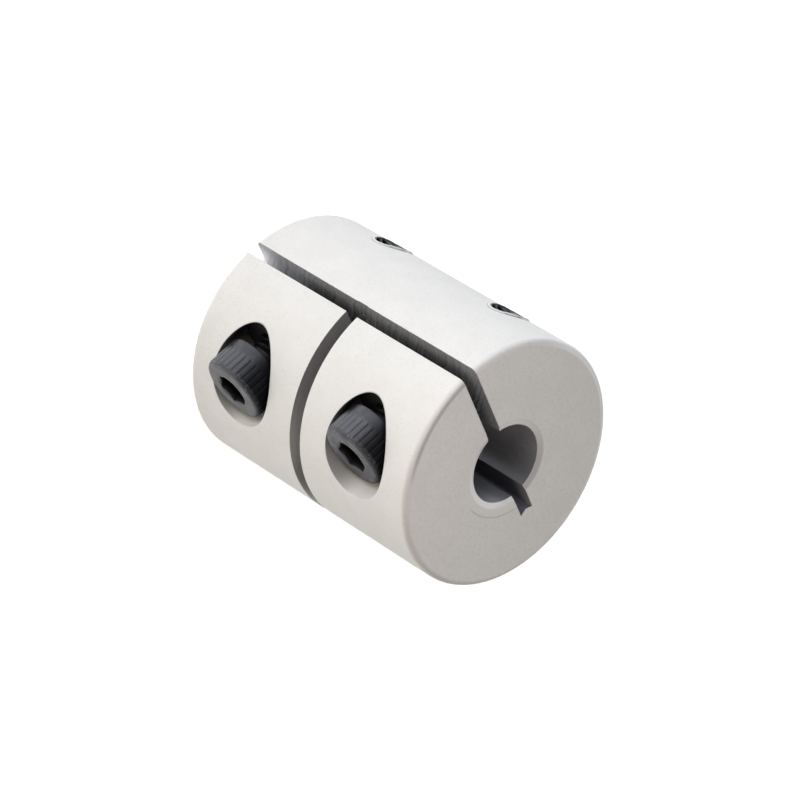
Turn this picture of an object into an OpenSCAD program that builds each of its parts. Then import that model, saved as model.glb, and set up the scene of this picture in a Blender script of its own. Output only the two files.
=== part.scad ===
// One-piece clamping coupling that joins two shafts end to end.
// It stands on one end with the shaft axis along Z. The long slit lies in the XZ plane and
// opens towards -X, and both clamp screws enter from -Y, across the slit.

/* [Body] */
// Outside diameter of the body
body_d = 20; // [18:0.5:32]
// Length of the body along the shafts
body_l = 25; // [22:0.5:50]
// Radius of the round on the outside edge of each end
edge_r = 0.5; // [0.2:0.05:1.5]

/* [Shaft bore] */
// Diameter of the bore that takes both shafts
bore_d = 6.35; // [4:0.05:8]
// Radial width of the countersink at each mouth of the bore
mouth_w = 0.5; // [0.2:0.05:1]
// Depth of that countersink along the axis
mouth_h = 0.18; // [0.05:0.01:0.8]
// Radial width of the flatter dish that the jaws have outside the countersink
dish_w = 1.15; // [0.5:0.05:1.5]
// Depth of that dish along the axis
dish_h = 0.06; // [0.02:0.01:0.4]

/* [Saw cuts] */
// Width of the long slit that lets the jaws close
slit_w = 1.2; // [0.6:0.1:2]
// How far the slit runs on past the bore, which leaves each jaw a hinge
relief_l = 2.2; // [1:0.1:3]
// Height of the saw's crowned floor between the two corners of its cut
kerf_crown = 0.25; // [0.05:0.05:0.5]
// Width of the cross cut that parts one jaw from the other
cross_w = 1.2; // [0.6:0.1:2]
// How far the cross cut runs past the slit and scores the solid half
cross_over = 0.04; // [0.01:0.01:0.3]

/* [Clamp screws] */
// Thread diameter of the screws
thread_d = 3; // [2.5:0.5:4]
// Pitch of the thread, which sets how a screw turns as it backs off
pitch = 0.5; // [0.35:0.05:0.7]
// Length of a screw under its head
screw_l = 12; // [8:1:16]
// Diameter of a screw head
head_d = 5.5; // [4.5:0.1:7]
// Height of a screw head
head_h = 2.9; // [2:0.1:4]
// Radius of the round at the face of a screw head
face_r = 0.45; // [0.1:0.05:0.6]
// Radius of the round at the foot of a screw head
foot_r = 0.1; // [0.05:0.05:0.3]
// Size of the hexagon socket across its flats
socket_af = 2.5; // [1.5:0.1:3]
// Depth of the socket's flats
socket_h = 1.4; // [1:0.1:2]
// Chamfer at the tip of a screw
tip_c = 0.4; // [0.1:0.05:0.6]
// Number of grooves round a screw head
groove_n = 32; // [16:1:48]
// Width of one groove where it opens
groove_w = 0.24; // [0.1:0.02:0.4]
// Depth of one groove
groove_h = 0.08; // [0.04:0.01:0.2]
// Height of the plain band that the grooves leave at the foot of a head
band_h = 0.85; // [0.3:0.05:1.5]
// How far the upper screw stands backed off from its seat
upper_lift = 1.25; // [0:0.05:2]
// How far the lower screw stands backed off from its seat
lower_lift = 1.85; // [0:0.05:2]

/* [Screw holes] */
// Distance of each screw axis from the nearest end of the body
screw_end = 5.9; // [5:0.1:8]
// Metal left between the bore and the hole that a screw passes through
bore_wall = 0.8; // [0.4:0.1:2]
// Thickness of a jaw between the slit and the seat of the screw head
seat_t = 3.8; // [2:0.1:5]
// Room all round a screw head in its recess
head_room = 0.45; // [0.2:0.05:1]
// Room all round the thread where it passes through a jaw
pass_room = 0.2; // [0.1:0.05:0.5]
// Play all round the thread where it is screwed into the solid half
thread_play = 0.02; // [0.01:0.01:0.05]

/* [Hidden] */
$fn = 96;
cut = 1;
reach = body_d / 2 + cut;
bore_r = bore_d / 2;
pass_d = thread_d + 2 * pass_room;
tapped_d = thread_d + 2 * thread_play;
recess_d = head_d + 2 * head_room;
screw_x = -(bore_r + bore_wall + pass_d / 2);
seat_y = -(slit_w / 2 + seat_t);
lower_z = screw_end;
upper_z = body_l - screw_end;
socket_ac = socket_af / cos(30);
aluminium = [0.86, 0.86, 0.84];
black_oxide = [0.17, 0.18, 0.2];

// Section of a turned piece from its axis out, with an arc in the corners of its two ends
module turned_section(r, length, low_r, high_r) {
    translate([0, low_r])
        square([r, length - low_r - high_r]);
    square([r - low_r, low_r]);
    translate([0, length - high_r])
        square([r - high_r, high_r]);
    translate([r - low_r, low_r])
        circle(low_r);
    translate([r - high_r, length - high_r])
        circle(high_r);
}

// Turns a hole or a screw that is made along Z so that it runs along Y from the given place
module across(y, z) {
    translate([screw_x, y, z])
        rotate([-90, 0, 0])
            children();
}

// Cone that opens the bore by the given width at an end face
module bore_mouth(width, depth) {
    cylinder(r1 = bore_r + width, r2 = bore_r, h = depth);
}

// Bore with a countersunk mouth at both ends, dished further on the jaw side
module shaft_bore() {
    translate([0, 0, -cut])
        cylinder(d = bore_d, h = body_l + 2 * cut);
    for (end = [0, 1])
        translate([0, 0, end * body_l])
            mirror([0, 0, end]) {
                bore_mouth(mouth_w, mouth_h);
                intersection() {
                    bore_mouth(dish_w, dish_h);
                    translate([-reach, -reach, 0])
                        cube([2 * reach, reach, body_l]);
                }
            }
}

// Long slit from the outside through the bore, with the saw's two-cornered floor at its end
module long_slit() {
    far_x = bore_r + relief_l;
    translate([0, 0, -cut])
        linear_extrude(body_l + 2 * cut)
            polygon([
                [-reach, -slit_w / 2],
                [far_x, -slit_w / 2],
                [far_x - kerf_crown, 0],
                [far_x, slit_w / 2],
                [-reach, slit_w / 2]
            ]);
}

// Cut across the jaw side at mid length, just past the slit
module cross_cut() {
    depth = reach + slit_w / 2 + cross_over;
    translate([-reach, -reach, body_l / 2 - cross_w / 2])
        cube([2 * reach, depth, cross_w]);
}

// Recess for the head, plain hole through the jaw and tapped hole through the solid half
module screw_hole(z) {
    across(-reach, z)
        cylinder(d = recess_d, h = reach + seat_y);
    across(-reach, z)
        cylinder(d = pass_d, h = reach);
    across(0, z)
        cylinder(d = tapped_d, h = reach);
}

module coupling_body() {
    color(aluminium)
        difference() {
            rotate_extrude()
                turned_section(body_d / 2, body_l, edge_r, edge_r);
            shaft_bore();
            long_slit();
            cross_cut();
            for (z = [lower_z, upper_z])
                screw_hole(z);
        }
}

// Hexagon socket with a coned mouth and a drilled point, sunk from the face of the head
module socket() {
    lead_h = (socket_ac - socket_af) / 2 * tan(30);
    point_h = socket_af / 2 * tan(30);
    cylinder(d = socket_ac, h = socket_h, $fn = 6);
    cylinder(d1 = socket_ac, d2 = socket_af, h = lead_h);
    translate([0, 0, socket_h])
        cylinder(d1 = socket_af, d2 = 0, h = point_h);
}

// V grooves down the side of the head, from its face to the plain band
module head_grooves() {
    rim = head_d / 2;
    for (i = [0 : groove_n - 1])
        rotate(i * 360 / groove_n)
            linear_extrude(head_h - band_h)
                polygon([
                    [rim - groove_h, 0],
                    [rim + groove_h, groove_w],
                    [rim + groove_h, -groove_w]
                ]);
}

// Cap screw whose head seats at the origin and whose thread runs up Z
module cap_screw() {
    translate([0, 0, -head_h])
        difference() {
            rotate_extrude()
                turned_section(head_d / 2, head_h, face_r, foot_r);
            socket();
            head_grooves();
        }
    cylinder(d = thread_d, h = screw_l - tip_c);
    translate([0, 0, screw_l - tip_c])
        cylinder(d1 = thread_d, d2 = thread_d - 2 * tip_c, h = tip_c);
}

// Cap screw at height z, unscrewed from its seat by the lift and turned as its thread makes it
module backed_off_screw(z, lift) {
    color(black_oxide)
        across(seat_y - lift, z)
            rotate(-360 * lift / pitch)
                cap_screw();
}

module upper_clamp_screw() {
    backed_off_screw(upper_z, upper_lift);
}

module lower_clamp_screw() {
    backed_off_screw(lower_z, lower_lift);
}

coupling_body();
upper_clamp_screw();
lower_clamp_screw();
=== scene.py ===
import math

import bmesh
import bpy
import numpy as np
from mathutils import Matrix, Vector


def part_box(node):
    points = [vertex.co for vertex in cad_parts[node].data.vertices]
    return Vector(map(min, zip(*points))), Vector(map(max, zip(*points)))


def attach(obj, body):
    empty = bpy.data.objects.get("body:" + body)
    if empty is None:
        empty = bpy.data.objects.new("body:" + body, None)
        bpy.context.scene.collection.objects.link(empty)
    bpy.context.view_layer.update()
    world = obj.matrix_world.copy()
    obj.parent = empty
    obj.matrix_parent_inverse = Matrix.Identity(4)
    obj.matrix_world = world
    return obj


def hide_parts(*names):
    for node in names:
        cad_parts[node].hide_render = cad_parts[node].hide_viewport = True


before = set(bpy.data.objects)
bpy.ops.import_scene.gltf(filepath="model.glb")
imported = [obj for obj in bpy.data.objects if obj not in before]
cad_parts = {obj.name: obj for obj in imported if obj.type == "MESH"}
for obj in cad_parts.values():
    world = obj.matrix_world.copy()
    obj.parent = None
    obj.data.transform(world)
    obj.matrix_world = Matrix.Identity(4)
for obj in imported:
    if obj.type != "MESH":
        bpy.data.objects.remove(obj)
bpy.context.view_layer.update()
mm = 0.001
print("frame loaded:", sorted(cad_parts))


# Small helpers for shader nodes

def feed(tree, node, links):  # each input takes what a socket gives, or a fixed value
    for name, value in links.items():
        if isinstance(value, bpy.types.NodeSocket):
            tree.links.new(value, node.inputs[name])
        else:
            node.inputs[name].default_value = value


def addNode(tree, kind, links=None, **settings):
    made = tree.nodes.new(kind)
    for name, value in settings.items():
        setattr(made, name, value)
    feed(tree, made, links or {})
    return made


def maths(tree, operation, *values):  # one Math node, fed by numbers or sockets in order
    return addNode(tree, "ShaderNodeMath", dict(enumerate(values)), operation=operation).outputs[0]


def both(tree, mask, *others):  # masks multiplied
    for other in others:
        mask = maths(tree, "MULTIPLY", mask, other)
    return mask


def either(tree, mask, *others):  # the highest of the masks
    for other in others:
        mask = maths(tree, "MAXIMUM", mask, other)
    return mask


def opposite(tree, mask):  # one less the mask
    return maths(tree, "SUBTRACT", 1.0, mask)


def apart(tree, value, middle):  # how far the value is from the middle, on either side
    return maths(tree, "ABSOLUTE", maths(tree, "SUBTRACT", value, middle))


def away(tree, first, second):  # root of the sum of the two squares
    squares = [maths(tree, "MULTIPLY", side, side) for side in (first, second)]
    return maths(tree, "SQRT", maths(tree, "ADD", *squares))


def onCircle(tree, radius, across):  # root of the radius squared less the distance across squared
    left = maths(tree, "SUBTRACT", radius ** 2, maths(tree, "MULTIPLY", across, across))
    return maths(tree, "SQRT", maths(tree, "MAXIMUM", left, 0.0))


def ramp(tree, value, low, high, toLow=0.0, toHigh=1.0):  # a smooth step of value from low to high
    links = {"Value": value, "From Min": low, "From Max": high, "To Min": toLow, "To Max": toHigh}
    return addNode(tree, "ShaderNodeMapRange", links, interpolation_type="SMOOTHSTEP").outputs["Result"]


def noise(tree, place, scale, detail=2.0, roughness=0.5):
    links = {"Vector": place, "Scale": scale, "Detail": detail, "Roughness": roughness}
    return addNode(tree, "ShaderNodeTexNoise", links).outputs["Fac"]


def mixValue(tree, share, first, second):  # sockets 2 and 3 of a Mix node are its two numbers
    return addNode(tree, "ShaderNodeMix", {0: share, 2: first, 3: second}).outputs[0]


def mixColour(tree, share, first, second):  # sockets 6 and 7 are its two colours
    links = {0: share, 6: first, 7: second}
    return addNode(tree, "ShaderNodeMix", links, data_type="RGBA").outputs[2]


def newMaterial(name):
    made = bpy.data.materials.new(name)
    made.use_nodes = True
    tree = made.node_tree
    coords = addNode(tree, "ShaderNodeTexCoord").outputs["Object"]
    links = {0: coords, "Scale": 1 / mm}
    place = addNode(tree, "ShaderNodeVectorMath", links, operation="SCALE").outputs[0]
    axes = addNode(tree, "ShaderNodeSeparateXYZ", {0: place}).outputs
    return made, tree, tree.nodes["Principled BSDF"], place, axes  # place and axes are in millimetres


# Where the two screws are, for every finish that is told by its distance from them

screwPlaces = {  # mm
    "x": -5.675,
    "middle": 12.5,  # height of the cross cut, half way between the screws
    "off": 6.6,  # from there to each screw
}


def fromScrew(tree, kit, x, z):  # above the nearer screw's axis, aside from it, and away from it all round
    fromMiddle = maths(tree, "SUBTRACT", z, kit["middle"])
    nearer = maths(tree, "MULTIPLY", maths(tree, "SIGN", fromMiddle), kit["off"])
    above = maths(tree, "SUBTRACT", fromMiddle, nearer)
    aside = maths(tree, "SUBTRACT", x, kit["x"])
    return above, aside, away(tree, above, aside)


# Blasted, clear anodised aluminium, with bare saw-cut slit walls
# A pair of limits gives a mask that grows from nothing at the first to full at the second
# Two more numbers behind a pair say what the mask is at each limit

bodyFinish = {
    "tone": (0.800, 0.773, 0.750, 1),
    "toneLow": (0.775, 0.748, 0.726, 1),
    "speckTone": (0.70, 0.675, 0.655, 1),
    "mouthHighlightTone": (0.97, 0.95, 0.93, 1),
    "mouthShadeTone": (0.53, 0.515, 0.50, 1),
    "mouthLightTone": (0.96, 0.94, 0.92, 1),
    "rimShadeTone": (0.52, 0.50, 0.485, 1),
    "rimHighlightTone": (0.95, 0.925, 0.905, 1),
    "arcShadeTone": (0.60, 0.58, 0.56, 1),
    "recessShadeTone": (0.082, 0.084, 0.10, 1),
    "sawTone": (0.97, 0.96, 0.97, 1),
    "sawToneLow": (0.76, 0.76, 0.78, 1),
    "slitShadeTone": (0.53, 0.53, 0.55, 1),
    "slitShadeToneLow": (0.25, 0.25, 0.26, 1),
    "sawLineAndShade": (0.21, 0.21, 0.22, 1),
    "crossShadeTone": (0.52, 0.50, 0.48, 1),
    "crossLightTone": (0.75, 0.725, 0.695, 1),
    "slotShadeTone": (0.20, 0.20, 0.23, 1),
    "slotEndLightTone": (0.80, 0.79, 0.80, 1),
    "seatShadeTone": (0.036, 0.037, 0.048, 1),
    "boreTone": (0.82, 0.82, 0.84, 1),
    "boreShadeTone": (0.30, 0.30, 0.315, 1),
    "boreShadeToneDeep": (0.50, 0.50, 0.52, 1),
    "boreToneEnd": (0.93, 0.93, 0.94, 1),
    "grain": (7.0, 3.0, 0.6),  # features per mm, detail and roughness of the noise, and so to sawWaver
    "specks": (5.0, 2.0, 0.6),
    "mottle": (0.5, 2.0, 0.5),
    "clouds": (3.2, 4.0, 0.7),
    "sawWaver": (0.7, 3.0),
    "sawDetail": 3.0,
    "mottleMix": (0.3, 0.7),
    "speckMix": (0.52, 0.72, 0.0, 0.6),
    "cloudMix": (0.48, 0.66, 0.0, 0.65),
    "sawMix": (0.32, 0.68),
    "sawLineMix": (0.34, 0.26, 0.0, 0.8),
    "crossShare": 0.8,
    "roughness": (0.3, 0.7, 0.58, 0.68),  # by the grain
    "sawRoughness": 0.36,
    "boreRoughness": 0.38,
    "metallic": (0.2, 0.7),  # on the blasted skin and where it is cut
    "bumpStrength": 0.5,
    "edgeSamples": 8,
    "grainDepth": 0.010,  # mm, and so are the rest
    "sawDepth": 0.03,
    "edgeBreak": 0.07,
    "lipBreak": (-7.0, -3.5, 0.10, 0.12),  # by x
    "near": 0.004,
    "bodyRadius": 10.0,
    "slitHalf": 0.6,
    "slitInner": (-9.8, -7.6),  # by x
    "slitLow": (6.6, 3.2, 0.0, 0.85),  # by height
    "slitEnds": (10.5, 12.2, 0.0, 0.85),  # by height from mid length
    "slitFoot": (5.0, 0.6, 0.0, 0.92),  # by height
    "slotFrom": 3.0,
    "slotFloor": 5.125,  # at mid width, and the two corners lie deeper
    "slotCrown": 0.25,
    "slotEnds": (10.8, 12.3),  # by height from mid length
    "crossHalf": 0.6,
    "crossFloor": 0.64,
    "crossLitFrom": (-7.5, -3.2),  # by x
    "crossLitTo": (-0.3, -2.2),
    "seatAt": -4.4,
    "recessRadius": 3.2,
    "recessNear": 0.05,
    "recessDeep": (-0.1, 1.9, 0.1, 1.0),  # by the depth below the lip
    "recessShade": (0.1, -2.2, 0.0, 0.64),  # by the height above the screw
    "recessOuter": (0.0, -1.4),  # by x from the screw
    "lipWidth": (0.45, 0.25),  # by the distance from the recess's edge
    "lipFrom": 9.4,  # radius
    "boreRadius": 3.175,
    "boreSide": (0.4, 3.2),  # by x
    "boreSideJaws": (2.5, 3.15),
    "boreEnds": (9.6, 12.3),  # by height from mid length
    "mouthFrom": 12.3,  # height from mid length
    "mouthRing": (3.735, 3.515),  # by radius
    "mouthLean": 0.7,
    "mouthAcross": (1.2, -3.6),  # by y less the lean times x
    "mouthJaws": (0.6, -0.4),  # by y
    "mouthSolid": (0.5, 0.7),
    "mouthNear": (3.4, 2.2, 0.3, 1.0),  # by x
    "mouthFar": (3.4, -3.4),
    "faceFrom": 12.49,  # height from mid length
    "arcRadius": 4.31,  # turning mark on the jaws' end faces, painted as a dark line for its groove's shade
    "arcHalf": 0.10,
    "arcJaws": (-0.6, -0.9),  # by y
    "arcSide": (0.3, 1.5),  # by x
    "rimRadius": 9.6,
    "rimWidth": (0.24, 0.06),  # by the distance from that radius
    "rimSide": (-5.0, -7.4),  # by x
    "backFrom": 12.0,  # height from mid length
    "backRadius": (9.4, 9.6),
    "backAcross": (0.6, 4.0),  # by y
    "backSide": (-8.0, -4.5),  # by x
    "sawRadius": 25.0,
    "sawCentre": -19.7,
    "sawStep": 0.28,
    "sawLineStep": 1.6,
    "sawWaverBy": 1.2,
}


def blastedAluminium(kit, screws):
    made, tree, shader, place, (x, y, z) = newMaterial("blasted_aluminium")
    off = apart(tree, z, screws["middle"])
    across = maths(tree, "ABSOLUTE", y)
    radius = away(tree, x, y)
    above, aside, recess = fromScrew(tree, screws, x, z)
    jaws = maths(tree, "LESS_THAN", y, 0.0)

    def at(value, middle):  # one where the value is the given number, to a few thousandths
        return maths(tree, "COMPARE", value, middle, kit["near"])

    def upTo(value, limit):  # one as far as the limit and a few thousandths past it
        return maths(tree, "LESS_THAN", value, limit + kit["near"])

    def past(value, limit):
        return maths(tree, "GREATER_THAN", value, limit)

    # saw cuts: the two walls of the slit, the crowned floor of its slot, the cross cut's walls and floor
    slitWall = both(tree, at(across, kit["slitHalf"]), upTo(x, kit["slotFloor"] + kit["slotCrown"]))
    crown = maths(tree, "MULTIPLY", across, kit["slotCrown"] / kit["slitHalf"])
    slotFloor = at(maths(tree, "SUBTRACT", x, crown), kit["slotFloor"])
    slotFloor = both(tree, slotFloor, upTo(across, kit["slitHalf"]))
    slot = either(tree, both(tree, slitWall, past(x, kit["slotFrom"])), slotFloor)
    crossWall = both(tree, at(off, kit["crossHalf"]), upTo(y, kit["crossFloor"]))
    crossFloor = both(tree, at(y, kit["crossFloor"]), upTo(off, kit["crossHalf"]))
    sawn = either(tree, slitWall, crossWall, crossFloor)

    # saw marks: arcs of the blade's radius, one after another along the feed
    blade = onCircle(tree, kit["sawRadius"], maths(tree, "SUBTRACT", x, kit["sawCentre"]))
    along = maths(tree, "ADD", maths(tree, "SUBTRACT", z, blade), y)
    waver = maths(tree, "MULTIPLY", noise(tree, place, *kit["sawWaver"]), kit["sawWaverBy"])
    along = maths(tree, "ADD", along, waver)

    def scored(spacing):  # lines across the feed, so far apart
        links = {"W": maths(tree, "DIVIDE", along, spacing), "Scale": 1.0, "Detail": kit["sawDetail"]}
        return addNode(tree, "ShaderNodeTexNoise", links, noise_dimensions="1D").outputs["Fac"]

    marks = scored(kit["sawStep"])
    lines = ramp(tree, scored(kit["sawLineStep"]), *kit["sawLineMix"])

    # blasted skin: a faint broad mottle and fine darker specks, and cloudy on the end faces
    grain = noise(tree, place, *kit["grain"])
    mottled = ramp(tree, noise(tree, place, *kit["mottle"]), *kit["mottleMix"])
    specked = ramp(tree, noise(tree, place, *kit["specks"]), *kit["speckMix"])
    clouded = ramp(tree, noise(tree, place, *kit["clouds"]), *kit["cloudMix"])
    tone = mixColour(tree, mottled, kit["toneLow"], kit["tone"])
    tone = mixColour(tree, specked, tone, kit["speckTone"])
    tone = mixColour(tree, both(tree, past(off, kit["faceFrom"]), clouded), tone, kit["speckTone"])

    # mouths of the bore: painted shade and light on the countersink of the solid half, and a painted
    # highlight on the jaws, which also have a turning mark
    ends = past(off, kit["mouthFrom"])
    ring = both(tree, ends, ramp(tree, radius, *kit["mouthRing"]))
    ringTone = mixColour(tree, ramp(tree, x, *kit["mouthFar"]), kit["mouthShadeTone"], kit["mouthLightTone"])
    tone = mixColour(tree, both(tree, ring, ramp(tree, y, *kit["mouthSolid"])), tone, ringTone)
    leaning = maths(tree, "SUBTRACT", y, maths(tree, "MULTIPLY", x, kit["mouthLean"]))
    mouth = both(tree, ring, ramp(tree, leaning, *kit["mouthAcross"]))
    mouth = both(tree, mouth, ramp(tree, y, *kit["mouthJaws"]), ramp(tree, x, *kit["mouthNear"]))
    tone = mixColour(tree, mouth, tone, kit["mouthHighlightTone"])
    # the turning mark: a thin dark ring, its groove's shade painted
    turnedMarkShade = ramp(tree, apart(tree, radius, kit["arcRadius"]), kit["arcHalf"], 0.0)
    turnedMarkShade = both(tree, ends, turnedMarkShade, ramp(tree, y, *kit["arcJaws"]), ramp(tree, x, *kit["arcSide"]))
    tone = mixColour(tree, turnedMarkShade, tone, kit["arcShadeTone"])

    # rims: a painted shade line on the jaws towards the slit's mouth, and a painted highlight round the solid
    # half
    rim = ramp(tree, apart(tree, radius, kit["rimRadius"]), *kit["rimWidth"])
    rim = both(tree, ends, rim, ramp(tree, x, *kit["rimSide"]), jaws)
    tone = mixColour(tree, rim, tone, kit["rimShadeTone"])
    back = both(tree, past(off, kit["backFrom"]), ramp(tree, radius, *kit["backRadius"]))
    back = both(tree, back, ramp(tree, y, *kit["backAcross"]), ramp(tree, x, *kit["backSide"]))
    tone = mixColour(tree, back, tone, kit["rimHighlightTone"])

    # head recesses: painted shade, towards the slit's mouth darker further below the lip, elsewhere on the
    # lower side
    seat = both(tree, at(y, kit["seatAt"]), upTo(recess, kit["recessRadius"]))
    recessShadeMask = maths(tree, "COMPARE", recess, kit["recessRadius"], kit["recessNear"])
    recessShadeMask = both(tree, recessShadeMask, upTo(y, kit["seatAt"]))
    deep = maths(tree, "ADD", y, onCircle(tree, kit["bodyRadius"], x))
    deep = ramp(tree, deep, *kit["recessDeep"])
    shaded = ramp(tree, above, *kit["recessShade"])
    outer = ramp(tree, aside, *kit["recessOuter"])
    tone = mixColour(tree, both(tree, recessShadeMask, mixValue(tree, outer, shaded, deep)), tone, kit["recessShadeTone"])

    # cross cut: painted light and shade, lighter half way in
    cut = mixColour(tree, ramp(tree, marks, *kit["sawMix"]), kit["sawToneLow"], kit["sawTone"])
    crossLit = both(tree, ramp(tree, x, *kit["crossLitFrom"]), ramp(tree, x, *kit["crossLitTo"]))
    crossCut = mixColour(tree, crossLit, kit["crossShadeTone"], kit["crossLightTone"])
    cut = mixColour(tree, maths(tree, "MULTIPLY", crossWall, kit["crossShare"]), cut, crossCut)

    # slit: bright where it comes out, painted shade further in but not low down or at its ends, dark saw
    # lines, and painted shade at its foot near the mouth
    inner = ramp(tree, x, *kit["slitInner"])
    lit = either(tree, ramp(tree, z, *kit["slitLow"]), ramp(tree, off, *kit["slitEnds"]))
    slitShade = both(tree, inner, opposite(tree, lit), either(tree, slitWall, crossFloor))
    slitShadeCut = mixColour(tree, ramp(tree, marks, *kit["sawMix"]), kit["slitShadeToneLow"], kit["slitShadeTone"])
    cut = mixColour(tree, slitShade, cut, slitShadeCut)
    foot = both(tree, ramp(tree, z, *kit["slitFoot"]), opposite(tree, inner))
    cut = mixColour(tree, both(tree, slitWall, either(tree, lines, foot)), cut, kit["sawLineAndShade"])
    tone = mixColour(tree, sawn, tone, cut)

    # relief slot: painted shade, and painted light at the ends of its solid side
    slotEnds = both(tree, ramp(tree, off, *kit["slotEnds"]), slitWall, past(y, 0.0))
    slotCut = mixColour(tree, slotEnds, kit["slotShadeTone"], kit["slotEndLightTone"])
    tone = mixColour(tree, slot, tone, slotCut)

    # reamed bore: painted shade towards the slot, and on the jaws also away from the ends
    reamed = upTo(radius, kit["boreRadius"])
    bored = mixColour(tree, ramp(tree, x, *kit["boreSide"]), kit["boreTone"], kit["boreShadeTone"])
    jawBored = mixColour(tree, ramp(tree, off, *kit["boreEnds"]), kit["boreShadeToneDeep"], kit["boreToneEnd"])
    jawBored = mixColour(tree, ramp(tree, x, *kit["boreSideJaws"]), jawBored, kit["boreShadeTone"])
    bored = mixColour(tree, jaws, bored, jawBored)
    tone = mixColour(tree, reamed, tone, bored)
    # the seat under each head: painted shade
    tone = mixColour(tree, seat, tone, kit["seatShadeTone"])

    rough = mixValue(tree, reamed, ramp(tree, grain, *kit["roughness"]), kit["boreRoughness"])
    rough = mixValue(tree, sawn, rough, kit["sawRoughness"])
    bare = either(tree, sawn, slot, reamed)
    metallic = ramp(tree, bare, 0.0, 1.0, *kit["metallic"])

    # broken edges, wider at the lip of a recess, and the grain or the saw marks on top
    lip = ramp(tree, apart(tree, recess, kit["recessRadius"]), *kit["lipWidth"])
    lip = both(tree, lip, jaws, past(radius, kit["lipFrom"]))
    fromX, toX, least, most = kit["lipBreak"]
    lipBreak = ramp(tree, x, fromX, toX, least * mm, most * mm)
    broken = mixValue(tree, lip, kit["edgeBreak"] * mm, lipBreak)
    edge = addNode(tree, "ShaderNodeBevel", {"Radius": broken}, samples=kit["edgeSamples"]).outputs[0]
    marksHigh = maths(tree, "MULTIPLY", marks, kit["sawDepth"] / kit["grainDepth"])
    links = {"Strength": kit["bumpStrength"], "Distance": kit["grainDepth"] * mm}
    links.update({"Height": mixValue(tree, sawn, grain, marksHigh), "Normal": edge})
    bump = addNode(tree, "ShaderNodeBump", links).outputs[0]
    feed(tree, shader, {"Base Color": tone, "Roughness": rough, "Metallic": metallic, "Normal": bump})
    return made


# Black oxide on the steel screws

screwFinish = {
    "tone": (0.070, 0.071, 0.082, 1),
    "toneWorn": (0.094, 0.095, 0.107, 1),
    "paintedShadeTone": (0.008, 0.008, 0.009, 1),
    "dustTone": (0.42, 0.41, 0.40, 1),
    "litTone": (0.13, 0.131, 0.145, 1),
    "grain": (14.0, 3.0),  # features per mm and detail of the noise, and so are the next two
    "mottle": (1.6, 3.0),
    "dust": (5.0, 2.0),
    "mottleMix": (0.35, 0.75),
    "dustMix": (0.72, 0.78, 0.0, 0.6),
    "rimDust": (0.62, 0.70, 0.0, 0.45),
    "gap": (0.40, 0.95),  # share of open sky, from full painted shade to none
    "gapSamples": 8,
    "roughness": (0.3, 0.7, 0.52, 0.40),  # by the mottle
    "metallic": 0.15,
    "specular": (0.3, 0.02),  # on the outside, and in the socket and under the painted shade
    "bumpStrength": 0.4,
    "grainDepth": 0.006,  # mm, and so are the rest
    "gapReach": 2.5,
    "lowerFace": -9.15,
    "upperFace": -8.55,
    "faceLight": (0.15, 0.0, 0.0, 0.7),  # by the depth below the face, and so are the next six
    "rimBelow": (0.75, 0.35),
    "sideBelow": (0.15, 0.5),
    "lightBelow": (2.1, 1.7),
    "footBelow": (1.45, 2.2),
    "socketBelow": (0.12, 0.62),
    "shadeBelow": (0.02, 0.25, 0.0, 0.6),
    "headTo": 2.95,
    "lightAside": (-1.6, -2.7, 0.0, 0.6),  # by x from the screw's axis
    "footAbove": (-0.5, -1.3),  # by the height above the axis
    "shadeAbove": (0.3, 2.4, 0.0, 0.93),
    "rimFrom": 2.3,
    "socketRadius": 1.42,
}


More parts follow.
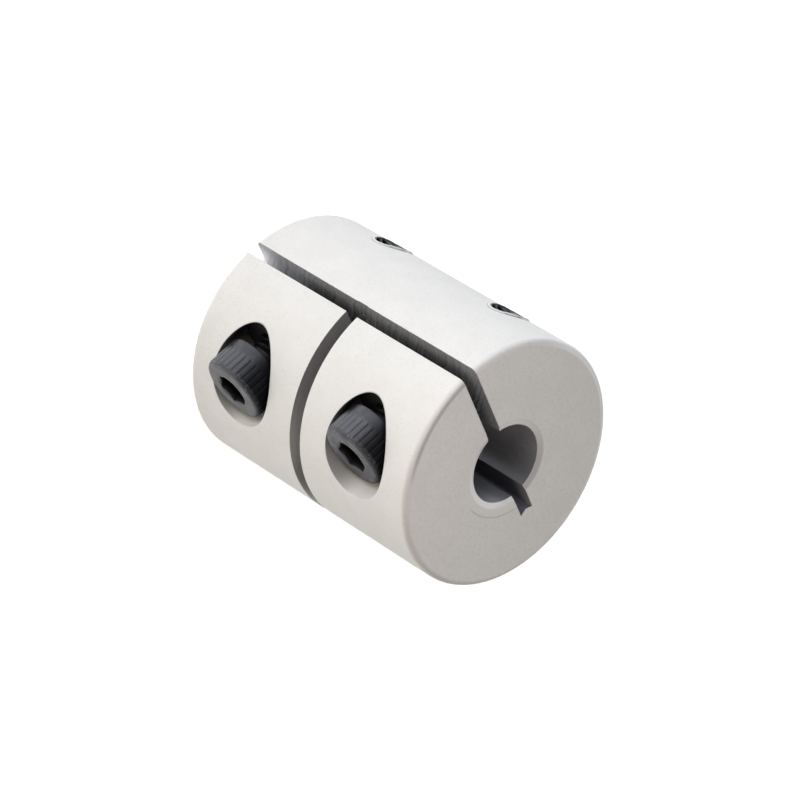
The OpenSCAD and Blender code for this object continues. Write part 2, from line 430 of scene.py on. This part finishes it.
def blackOxide(kit, screws):
    made, tree, shader, place, (x, y, z) = newMaterial("black_oxide")
    above, aside, fromAxis = fromScrew(tree, screws, x, z)
    upper = maths(tree, "GREATER_THAN", z, screws["middle"])
    face = maths(tree, "MULTIPLY_ADD", upper, kit["upperFace"] - kit["lowerFace"], kit["lowerFace"])
    below = maths(tree, "SUBTRACT", y, face)

    # oxide: a faint mottle and a few bits of dust, more of them on the rim of the head
    mottle = noise(tree, place, *kit["mottle"])
    dust = noise(tree, place, *kit["dust"])
    tone = mixColour(tree, ramp(tree, mottle, *kit["mottleMix"]), kit["tone"], kit["toneWorn"])
    tone = mixColour(tree, ramp(tree, dust, *kit["dustMix"]), tone, kit["dustTone"])
    rim = maths(tree, "GREATER_THAN", fromAxis, kit["rimFrom"])
    rim = both(tree, rim, ramp(tree, below, *kit["rimBelow"]), ramp(tree, dust, *kit["rimDust"]))
    tone = mixColour(tree, rim, tone, kit["dustTone"])

    # painted light on the side of the head towards the slit's mouth, and on the face of the lower screw
    side = maths(tree, "LESS_THAN", below, kit["headTo"])
    side = both(tree, side, ramp(tree, below, *kit["sideBelow"]))
    paintedLight = both(tree, side, ramp(tree, aside, *kit["lightAside"]), ramp(tree, below, *kit["lightBelow"]))
    tone = mixColour(tree, paintedLight, tone, kit["litTone"])
    paintedLightFace = both(tree, ramp(tree, below, *kit["faceLight"]), opposite(tree, upper))
    tone = mixColour(tree, paintedLightFace, tone, kit["litTone"])

    # painted shade on the upper side and, next to the foot of the head, a painted shadow on the lower side
    foot = both(tree, ramp(tree, below, *kit["footBelow"]), ramp(tree, above, *kit["footAbove"]))
    paintedShade = either(tree, ramp(tree, above, *kit["shadeAbove"]), foot)
    paintedShade = both(tree, paintedShade, either(tree, side, ramp(tree, below, *kit["shadeBelow"])))
    tone = mixColour(tree, paintedShade, tone, kit["paintedShadeTone"])

    # painted shade in the gaps and in the socket, which is near the axis and below the face
    links = {"Distance": kit["gapReach"] * mm}
    sky = addNode(tree, "ShaderNodeAmbientOcclusion", links, samples=kit["gapSamples"]).outputs["AO"]
    tone = mixColour(tree, ramp(tree, sky, *kit["gap"]), kit["paintedShadeTone"], tone)
    socket = maths(tree, "LESS_THAN", fromAxis, kit["socketRadius"])
    socket = both(tree, socket, ramp(tree, below, *kit["socketBelow"]))
    tone = mixColour(tree, socket, tone, kit["paintedShadeTone"])

    specular = ramp(tree, either(tree, socket, paintedShade), 0.0, 1.0, *kit["specular"])
    links = {"Strength": kit["bumpStrength"], "Distance": kit["grainDepth"] * mm}
    links["Height"] = noise(tree, place, *kit["grain"])
    bump = addNode(tree, "ShaderNodeBump", links).outputs[0]
    rough = ramp(tree, mottle, *kit["roughness"])
    feed(tree, shader, {"Base Color": tone, "Roughness": rough, "Metallic": kit["metallic"]})
    feed(tree, shader, {"Specular IOR Level": specular, "Normal": bump})
    return made


# Freshly cut thread in the aluminium, with painted shade in its roots, on the inside of its burr and at the
# burr's foot

tappedFinish = {
    "crestTone": (0.42, 0.42, 0.43, 1),
    "rootShadeTone": (0.06, 0.06, 0.065, 1),
    "burrTone": (0.74, 0.725, 0.70, 1),
    "footShadeTone": (0.36, 0.35, 0.34, 1),
    "mottle": (3.0, 3.0),  # features per mm and detail of the noise
    "roughness": (0.3, 0.7, 0.50, 0.35),  # by the mottle
    "metallic": 0.7,
    "root": (1.25, 1.36),  # mm from the screw's axis, and so are the next two
    "burr": (1.36, 1.42),
    "foot": (1.53, 1.59),
    "outside": (9.93, 9.97),  # mm from the body's axis
}


def cutThread(kit, screws):
    made, tree, shader, place, (x, y, z) = newMaterial("cut_thread")
    fromAxis = fromScrew(tree, screws, x, z)[2]
    # painted shade: dark in the roots of the thread, on the burr's inner side and round its foot
    tone = mixColour(tree, ramp(tree, fromAxis, *kit["root"]), kit["crestTone"], kit["rootShadeTone"])
    burr = mixColour(tree, ramp(tree, fromAxis, *kit["burr"]), kit["rootShadeTone"], kit["burrTone"])
    burr = mixColour(tree, ramp(tree, fromAxis, *kit["foot"]), burr, kit["footShadeTone"])
    tone = mixColour(tree, ramp(tree, away(tree, x, y), *kit["outside"]), tone, burr)
    rough = ramp(tree, noise(tree, place, *kit["mottle"]), *kit["roughness"])
    feed(tree, shader, {"Base Color": tone, "Roughness": rough, "Metallic": kit["metallic"]})
    return made


tapped = cutThread(tappedFinish, screwPlaces)
aluminium = blastedAluminium(bodyFinish, screwPlaces)
oxide = blackOxide(screwFinish, screwPlaces)
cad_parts["coupling_body"].material_slots[0].material = aluminium
print("finishes made")


# Surfaces on a grid of two parameters

meshing = {
    "merge": 0.0005,  # mm
    "thin": 0.0002,
    "smoothDeg": 32.0,
}


def turns(count):  # angles round a screw's axis, without the repeat of the first
    return np.arange(count) * 2 * math.pi / count


def gridFaces(columns, corners, start):  # four-sided faces from the row and column of each corner
    numbers = [row * columns + column for row, column in corners]
    return (np.stack(numbers, -1).reshape(-1, 4) + start).tolist()


def ringFaces(rows, columns, start):  # faces of a grid that closes round its columns
    row, column = np.meshgrid(np.arange(rows - 1), np.arange(columns), indexing="ij")
    after = (column + 1) % columns
    corners = [(row, column), (row, after), (row + 1, after), (row + 1, column)]
    return gridFaces(columns, corners, start)


def climbingFaces(rows, columns, rise, start):  # the same, for rows that climb by so many rows in one turn
    row, column = np.meshgrid(np.arange(rows - 1), np.arange(columns), indexing="ij")
    seam = column == columns - 1
    after = np.where(seam, 0, column + 1)
    low = np.minimum(row + np.where(seam, rise, 0), rows - 1)
    high = np.minimum(row + 1 + np.where(seam, rise, 0), rows - 1)
    corners = [(row, column), (low, after), (high, after), (row + 1, column)]
    return gridFaces(columns, corners, start)


def fanFaces(pole, ring, outward):  # triangles from one point to a closed ring of vertex numbers
    after = np.roll(ring, -1)
    order = (ring, after) if outward else (after, ring)
    return np.stack([np.full(len(ring), pole), *order], -1).tolist()


def buildPiece(name, points, faces, material):
    mesh = bpy.data.meshes.new(name)
    mesh.from_pydata((points * mm).tolist(), [], faces)
    made = bmesh.new()
    made.from_mesh(mesh)
    bmesh.ops.remove_doubles(made, verts=made.verts, dist=meshing["merge"] * mm)
    bmesh.ops.dissolve_degenerate(made, edges=made.edges, dist=meshing["thin"] * mm)
    bmesh.ops.recalc_face_normals(made, faces=made.faces)
    made.to_mesh(mesh)
    made.free()
    mesh.shade_smooth()
    mesh.set_sharp_from_angle(angle=math.radians(meshing["smoothDeg"]))
    mesh.materials.append(material)
    piece = bpy.data.objects.new(name, mesh)
    bpy.context.scene.collection.objects.link(piece)
    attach(piece, "root")
    print(name, "has", len(mesh.polygons), "faces")
    return piece


# Cap screws: one revolved surface with a grooved head, a hexagon socket and a rolled thread

screwSizes = {
    "headHeight": 2.9,  # mm, and so are the rest, apart from shares and counts
    "headRadius": 2.75,
    "faceRound": 0.45,
    "footRound": 0.1,
    "socketFlats": 2.5,
    "socketDepth": 1.4,
    "grooves": 32,
    "grooveWidth": 0.24,
    "grooveDepth": 0.08,
    "grooveFade": 0.2,
    "bandHeight": 0.85,
    "threadRadius": 1.5,
    "threadDepth": 0.3,
    "pitch": 0.5,
    "crestShare": 0.125,  # of half a pitch, and so is the next
    "flankShare": 0.625,
    "runOut": 0.9,
    "tipChamfer": 0.4,
    "seat": -4.4,
    "headColumns": 384,
    "shankColumns": 96,
    "rowsPerPitch": 10,
    "coneRows": 4,
    "wallRows": 6,
    "faceRows": 5,
    "roundRows": 9,
    "sideRows": 36,
}


def threadRadius(kit, angle, y):  # crest at the whole turns, straight flanks down to a flat root
    turn = y / kit["pitch"] - angle / (2 * math.pi)
    fromCrest = np.abs((turn + 0.5) % 1.0 - 0.5) * 2
    fall = np.clip((fromCrest - kit["crestShare"]) / kit["flankShare"], 0, 1)
    return kit["threadRadius"] - kit["threadDepth"] * fall


def headRows(kit, angle):  # depth below the face and radius of each row, from the socket's point to the foot
    rim, flats, deep = kit["headRadius"], kit["socketFlats"] / 2, kit["socketDepth"]
    corner = flats / math.cos(math.pi / 6)
    hexagon = flats / np.cos((angle + math.pi / 6) % (math.pi / 3) - math.pi / 6)
    lead = (corner - flats) * math.tan(math.pi / 6)
    point = flats * math.tan(math.pi / 6)
    # socket: drilled point, hexagon walls and coned mouth
    steps = np.arange(1, kit["coneRows"] + 1) / kit["coneRows"]
    cone = np.repeat(flats * steps[:, None], len(angle), 1)
    walls = np.repeat(hexagon[None, :], kit["wallRows"], 0)
    mouth = np.maximum(hexagon, flats + (corner - flats) * steps[:, None])
    wallDepths = np.linspace(deep, lead, kit["wallRows"])
    socketDepths = np.concatenate([deep + point * (1 - steps), wallDepths, lead * (1 - steps)])
    # outside: the face, the round of the face, the grooved side with its plain band, and the foot
    faceRound, footRound, height = kit["faceRound"], kit["footRound"], kit["headHeight"]
    face = np.linspace(corner, rim - faceRound, kit["faceRows"])[1:-1]
    arc = np.linspace(0, math.pi / 2, kit["roundRows"])
    side = np.linspace(faceRound, height - footRound, kit["sideRows"])[1:-1]
    radii = [face, rim - faceRound + faceRound * np.sin(arc), np.full(len(side), rim)]
    radii = np.concatenate([*radii, rim - footRound + footRound * np.cos(arc[::2])])
    depths = [np.zeros(len(face)), faceRound - faceRound * np.cos(arc), side]
    depths = np.concatenate([*depths, height - footRound + footRound * np.sin(arc[::2])])
    # V grooves: the side is cut back near each groove's middle, fading out above the plain band
    fromGroove = np.abs((angle * kit["grooves"] / (2 * math.pi) + 0.5) % 1.0 - 0.5)
    fromGroove = fromGroove * 2 * math.pi * rim / kit["grooves"]
    notch = np.clip(1 - fromGroove / (kit["grooveWidth"] / 2), 0, 1)
    fade = np.clip((height - kit["bandHeight"] - depths) / kit["grooveFade"], 0, 1)
    bottom = rim - kit["grooveDepth"] * notch[None, :] * fade[:, None]
    outside = np.minimum(radii[:, None], bottom)
    return deep + point, np.concatenate([socketDepths, depths]), np.concatenate([cone, walls, mouth, outside])


def shankRows(kit, spin, length):  # rows climb with the thread, held between the foot of the head and the tip
    per = kit["rowsPerPitch"]
    count = int(math.ceil(length / kit["pitch"]) + 2) * per
    climb = (np.arange(count)[:, None] / per - 1 + spin[None, :] / (2 * math.pi)) * kit["pitch"]
    y = np.clip(climb, 0, length)
    plain = np.clip((y - kit["runOut"] / 2) / kit["runOut"], 0, 1)
    radius = kit["threadRadius"] * (1 - plain) + threadRadius(kit, spin[None, :], y) * plain
    chamfer = np.clip(y - (length - kit["tipChamfer"]), 0, None)
    return y, np.minimum(radius, kit["threadRadius"] - chamfer)


def revolved(radius, y, angle):  # radius and height of each row, carried round the axis
    y = np.broadcast_to(y, radius.shape)
    return np.stack([radius * np.cos(angle), y, radius * np.sin(angle)], -1).reshape(-1, 3)


def capScrew(kit, node):
    low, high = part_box(node)
    faceY, tipY = low.y / mm, high.y / mm
    axisX, axisZ = (low.x + high.x) / 2 / mm, (low.z + high.z) / 2 / mm
    footY = faceY + kit["headHeight"]
    head, columns = kit["headColumns"], kit["shankColumns"]
    angle, spin = turns(head), turns(columns)
    pole, depths, rows = headRows(kit, angle)
    y, radius = shankRows(kit, spin, tipY - footY)
    under = np.full((1, columns), kit["threadRadius"])
    # number the vertices: pole, head rows, ring under the head, shank rows, tip
    points = np.concatenate([
        [[0, pole, 0]],
        revolved(rows, depths[:, None], angle),
        revolved(under, kit["headHeight"], spin),
        revolved(radius, kit["headHeight"] + y, spin),
        [[0, tipY - faceY, 0]],
    ])
    headStart = 1
    underStart = headStart + len(rows) * head
    shankStart = underStart + columns
    column = np.arange(columns)
    faces = fanFaces(0, headStart + np.arange(head), True) + ringFaces(len(rows), head, headStart)
    # the foot's fine ring meets the shank's coarse one, a few columns to each
    share = head // columns
    fine = underStart - head + (column[:, None] * share + np.arange(share + 1)[None, :]) % head
    coarse = np.stack([underStart + (column + 1) % columns, underStart + column], -1)
    faces += np.concatenate([fine, coarse], 1).tolist()
    faces += climbingFaces(len(y), columns, kit["rowsPerPitch"], shankStart)
    faces += fanFaces(len(points) - 1, shankStart + (len(y) - 1) * columns + column, False)
    # the thread turns the screw as it backs off from its seat
    turn = -2 * math.pi * (kit["seat"] - footY) / kit["pitch"]
    turnedX = points[:, 0] * math.cos(turn) - points[:, 2] * math.sin(turn)
    turnedZ = points[:, 0] * math.sin(turn) + points[:, 2] * math.cos(turn)
    points = np.stack([axisX + turnedX, faceY + points[:, 1], axisZ - turnedZ], -1)
    piece = buildPiece(node.replace("clamp", "cap"), points, faces, oxide)
    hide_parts(node)
    return piece


# Tapped threads: a closed sleeve that lines each tapped hole from the slit to the outside, with a torn burr

tapSizes = {
    "from": 0.6,  # y of the slit's wall, in mm as the next eight are
    "outerRadius": 1.516,
    "innerRadius": 1.23,
    "play": 0.03,
    "bodyRadius": 10.0,
    "inset": 0.004,
    "closing": 0.35,  # the groove closes up over this depth
    "burrFoot": 1.61,
    "burrHeight": 0.085,
    "closed": 0.25,  # share of the groove that is left at the outside
    "burrCrest": 0.4,  # share of the way from the hole to the foot
    "burrFall": 1.5,
    "burrSide": 4.5,  # radians round the screw
    "burrLip": -3.3,  # from there to the low lip
    "burrShares": (0.2, 1.5, 0.55),  # all round, on its side, and on the lip
    "burrWaves": ((0.16, 5, 0.7), (0.13, 11, 2.1)),  # height, count and turn
    "lastWave": (0.1, 23),
    "waveShares": (0.5, 0.7),  # all round, and more on its side
    "burrLeast": 0.02,
    "burrRows": 14,
    "backRows": 8,
    "closeRows": 4,
    "settle": 4,
}


def burrRise(kit, spin, phase):  # height round the hole: high on one side, a low lip across, and waves
    thrown = (0.5 + 0.5 * np.cos(spin - kit["burrSide"])) ** 2
    lip = np.clip(np.cos(spin - kit["burrSide"] - kit["burrLip"]), 0, 1)
    waves = sum(height * np.sin(count * spin + turn) for height, count, turn in kit["burrWaves"])
    height, count = kit["lastWave"]
    waves = waves + height * np.sin(count * spin + phase)
    least, onSide, onLip = kit["burrShares"]
    level, more = kit["waveShares"]
    rise = least + onSide * thrown + onLip * lip + waves * (level + more * thrown)
    return np.clip(rise, kit["burrLeast"], None)


def tappedThread(kit, screw, node, name):
    low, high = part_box(node)
    axisX, axisZ = (low.x + high.x) / 2 / mm, (low.z + high.z) / 2 / mm
    columns, per, pitch = screw["shankColumns"], screw["rowsPerPitch"], screw["pitch"]
    inner, outer = kit["innerRadius"], kit["outerRadius"]
    spin = turns(columns)
    start = kit["from"] + kit["inset"]

    def outside(radius):  # y of the body's surface at this radius from the screw's axis
        return np.sqrt(kit["bodyRadius"] ** 2 - (axisX + radius * np.cos(spin)) ** 2) - kit["inset"]

    def inside(y):  # the screw's thread with play, closing up towards the outside
        radius = threadRadius(screw, spin[None, :], y - screw["seat"]) + kit["play"]
        groove = np.clip((outside(inner) - y) / kit["closing"], kit["closed"], 1)
        return inner + (np.clip(radius, inner, outer) - inner) * groove

    def rows(radius, y):  # rows of the sleeve that aren't raised, as radius, y and height off the body
        radius, y = np.broadcast_arrays(radius, y)
        return np.stack([radius, y, np.zeros(y.shape)], -1)

    def shares(count):  # steps from the first to the last row, without the first
        return np.linspace(0, 1, count + 1)[1:, None]

    # wall: rows climb with the thread, and the last ones settle on the outside surface
    reach = float(outside(outer).max()) - start
    count = int(math.ceil(reach / pitch) + 2) * per
    climb = start + (np.arange(count)[:, None] / per - 1 + spin[None, :] / (2 * math.pi)) * pitch
    climb = np.maximum(climb, start)
    y = climb
    for _ in range(kit["settle"]):
        y = np.minimum(climb, outside(inside(y)))
    radius = inside(y)
    wall = rows(radius, y)
    # burr: a ring that rises quickly from the hole and runs out on the outside, torn by a few waves round it
    share = shares(kit["burrRows"])
    rise, fall = share / kit["burrCrest"], (share - kit["burrCrest"]) / (1 - kit["burrCrest"])
    falling = np.cos(fall * math.pi / 2) ** kit["burrFall"]
    crest = np.where(share < kit["burrCrest"], np.sin(rise * math.pi / 2), falling)
    burr = radius[-1] + (kit["burrFoot"] - radius[-1]) * share
    burr = rows(burr, outside(burr))
    burr[..., 2] = kit["burrHeight"] * crest * burrRise(kit, spin, axisZ)
    # back of the sleeve, down to the slit's wall, and the ring that closes it there
    top = outside(np.full((1, columns), outer))
    back = rows(outer, top + (start - top) * shares(kit["backRows"]))
    close = rows(outer + (radius[0] - outer) * shares(kit["closeRows"]), start)
    after = np.concatenate([wall[-1:], burr, rows(outer, top), back, close])
    grid = np.concatenate([wall, after])
    raised = 1 + grid[..., 2] / kit["bodyRadius"]  # away from the body's axis
    x = (axisX + grid[..., 0] * np.cos(spin)) * raised
    z = axisZ - grid[..., 0] * np.sin(spin)
    points = np.stack([x, grid[..., 1] * raised, z], -1).reshape(-1, 3)
    faces = climbingFaces(count, columns, per, 0) + ringFaces(len(after), columns, count * columns)
    return buildPiece(name, points, faces, tapped)


for node in ("upper_clamp_screw", "lower_clamp_screw"):
    capScrew(screwSizes, node)
    tappedThread(tapSizes, screwSizes, node, node.replace("clamp_screw", "tapped_thread"))
print("screws and tapped threads made")


# Floor, camera and soft studio light

studio = {
    "floorSize": 3.0,  # m
    "floorTone": (0.93, 0.93, 0.93, 1),
    "floorToneHigh": (0.95, 0.95, 0.95, 1),
    "floorMottle": (0.02, 2.0),  # features per mm and detail of the noise
    "floorMix": (0.3, 0.7),
    "floorRoughness": 0.9,
    "glowTone": (1, 1, 1, 1),
    "floorGlow": (5.0, 9.8, 0.0, 0.575),  # mm from the axis, and the strength there
    "farPaintedLight": (8.0, 18.0, 0.0, 0.15),  # painted light added further out, over the part's shadow on the floor
    "slitPaintedLight": 0.45,  # painted light added in front of the slit's mouth, over its shadow
    "slitNear": (-6.8, -8.6),  # by x in mm
    "slitFar": (-11.0, -8.6),
    "slitSide": (1.6, 0.5),  # by the distance from the slit's middle
    "focalPixels": 4402.93,
    "framePixels": 800,
    "sensor": 36.0,
    "clipStart": 0.01,
    "cameraAt": (-232.594, -104.051, 227.094),  # mm
    "cameraRight": (0.289162, 0.699296, 0.653736),
    "cameraUp": (-0.654219, 0.642905, -0.398334),
    "lampsRound": (0, 0, 12.5),  # mm
    "worldTone": (1.0, 1.0, 1.0, 1),
    "worldStrength": 1.0,
}

softboxes = [  # name, direction from the middle, distance mm, width mm, watts, colour
    ("low_box", (-0.85, -0.5, 0.03), 420, 380, 0.60, (1.0, 0.86, 0.50)),
    ("left_box", (-1.0, 0.1, 0.25), 420, 380, 1.03, (0.78, 0.87, 1.0)),
    ("rear_box", (-0.6, 0.75, 0.25), 420, 380, 0.26, (0.75, 0.87, 1.0)),
    ("side_box", (0.55, -0.65, 0.5), 420, 380, 0.10, (0.95, 1.0, 0.87)),
    ("far_box", (0.65, 0.35, 0.65), 420, 380, 0.60, (0.98, 1.0, 0.95)),
    ("face_card", (-15, -15, 42.5), 47.5, 40, 0.0036, (1.0, 0.83, 0.81)),
]


def pureFloor(kit):
    made, tree, shader, place, (x, y, z) = newMaterial("floor_white")
    mottle = noise(tree, place, *kit["floorMottle"])
    tone = mixColour(tree, ramp(tree, mottle, *kit["floorMix"]), kit["floorTone"], kit["floorToneHigh"])
    fromAxis = away(tree, x, y)
    glow = ramp(tree, fromAxis, *kit["floorGlow"])  # none under the part: a painted shadow there
    glow = maths(tree, "ADD", glow, ramp(tree, fromAxis, *kit["farPaintedLight"]))
    mouth = both(tree, ramp(tree, x, *kit["slitNear"]), ramp(tree, x, *kit["slitFar"]))
    mouth = both(tree, mouth, ramp(tree, maths(tree, "ABSOLUTE", y), *kit["slitSide"]))
    glow = maths(tree, "ADD", glow, maths(tree, "MULTIPLY", mouth, kit["slitPaintedLight"]))
    feed(tree, shader, {"Base Color": tone, "Roughness": kit["floorRoughness"]})
    feed(tree, shader, {"Emission Color": kit["glowTone"], "Emission Strength": glow})
    return made


half = studio["floorSize"] / 2
corners = [(-half, -half, 0), (half, -half, 0), (half, half, 0), (-half, half, 0)]
floorMesh = bpy.data.meshes.new("floor")
floorMesh.from_pydata(corners, [], [(0, 1, 2, 3)])
floorMesh.materials.append(pureFloor(studio))
floor = bpy.data.objects.new("floor", floorMesh)
bpy.context.scene.collection.objects.link(floor)

right, up = Vector(studio["cameraRight"]).normalized(), Vector(studio["cameraUp"]).normalized()
camData = bpy.data.cameras.new("camera")
camData.sensor_width = studio["sensor"]
camData.lens = studio["sensor"] * studio["focalPixels"] / studio["framePixels"]
camData.clip_start = studio["clipStart"]
camera = bpy.data.objects.new("camera", camData)
pose = Matrix((right, up, right.cross(up))).transposed().to_4x4()
pose.translation = Vector(studio["cameraAt"]) * mm
camera.matrix_world = pose
bpy.context.scene.collection.objects.link(camera)
bpy.context.scene.camera = camera

middle = Vector(studio["lampsRound"]) * mm
for name, way, far, wide, watts, colour in softboxes:
    lamp = bpy.data.lights.new(name, "AREA")
    lamp.shape = "DISK"
    lamp.size = wide * mm
    lamp.energy = watts
    lamp.color = colour
    box = bpy.data.objects.new(name, lamp)
    box.location = middle + Vector(way).normalized() * far * mm
    box.rotation_euler = (-Vector(way)).to_track_quat("-Z", "Y").to_euler()
    box.visible_camera = False
    bpy.context.scene.collection.objects.link(box)

world = bpy.data.worlds.new("studio")
bpy.context.scene.world = world
world.use_nodes = True
backdrop = world.node_tree.nodes["Background"]
feed(world.node_tree, backdrop, {"Color": studio["worldTone"], "Strength": studio["worldStrength"]})
world.cycles_visibility.diffuse = False  # a white backdrop, not a light
world.cycles_visibility.glossy = False
bpy.context.scene.view_settings.view_transform = "Standard"
print("studio set")
